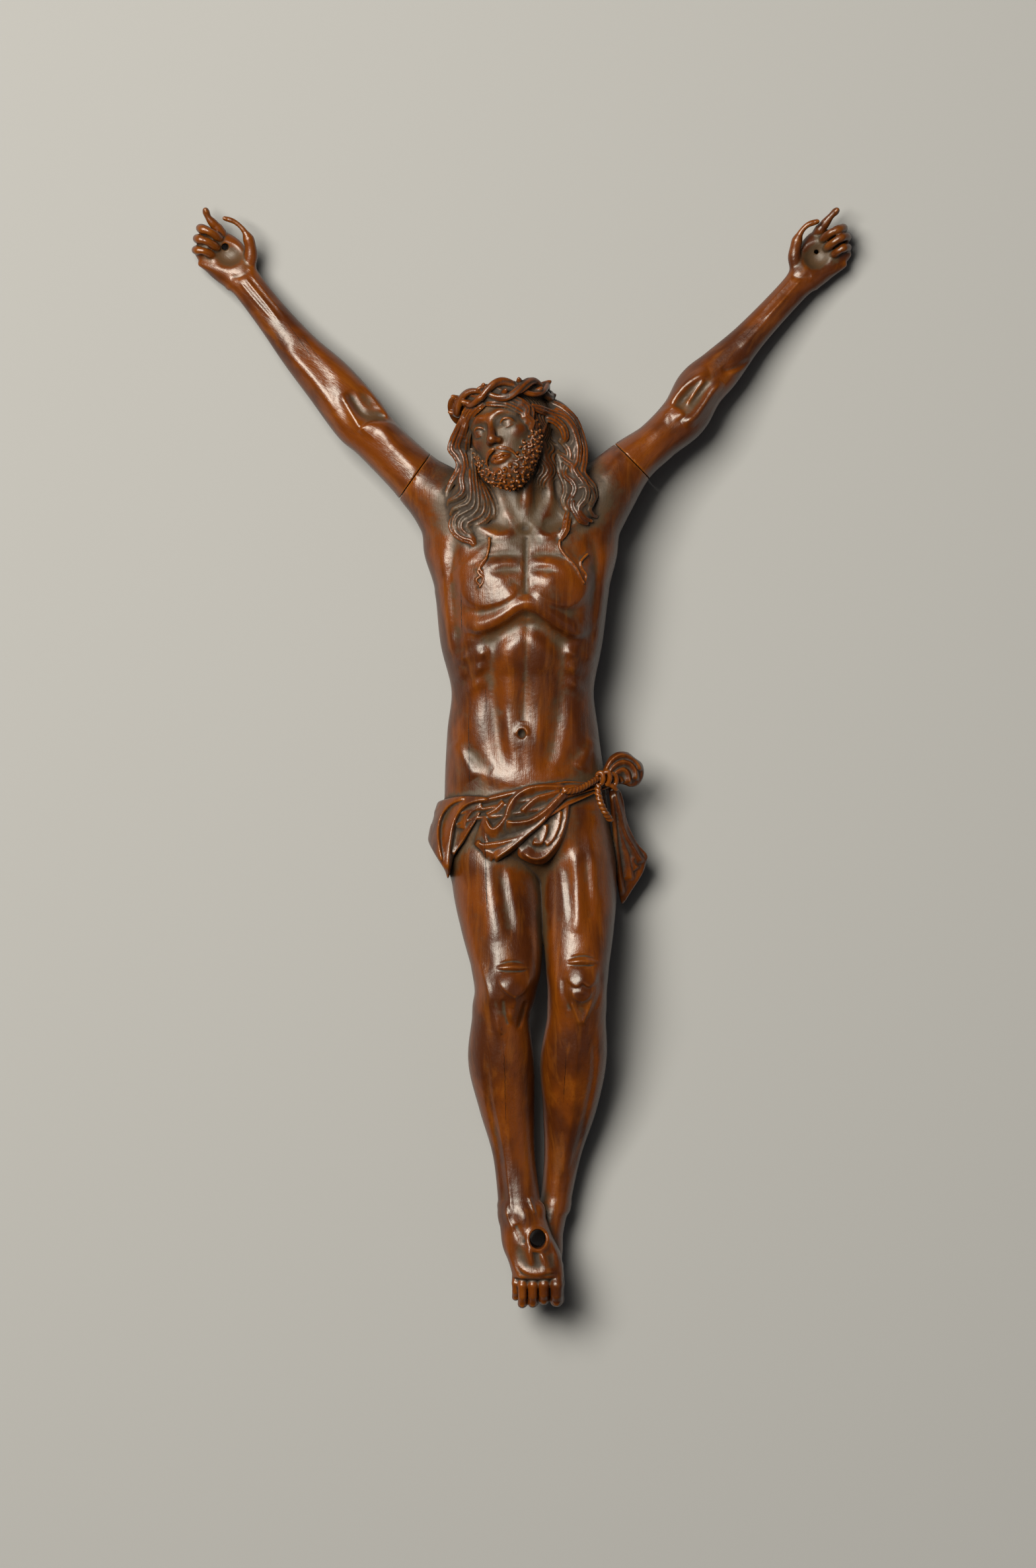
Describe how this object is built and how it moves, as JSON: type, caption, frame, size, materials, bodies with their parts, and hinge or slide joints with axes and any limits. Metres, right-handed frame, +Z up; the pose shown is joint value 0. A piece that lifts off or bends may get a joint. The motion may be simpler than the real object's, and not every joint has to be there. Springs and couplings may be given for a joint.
{
  "type": "crucifix corpus figure",
  "caption": "Carved wooden crucified figure with raised arms, crown of thorns and knotted loincloth, made to be fixed to a cross.",
  "frame": {"origin": "middle of the lying figure's outline, on the surface it lies on", "axes": "+Y from the feet to the head, +Z up out of the chest, +X to the viewer's right of someone looking down on it"},
  "size_m": [0.268, 0.446, 0.0583],
  "materials": {
    "boxwood": "old polish, worn, with grey-green dust in the hollows"
  },
  "bodies": {
    "root": {"figure_with_loincloth": "boxwood", "right_arm": "boxwood", "left_arm": "boxwood"}
  },
  "joints": []
}
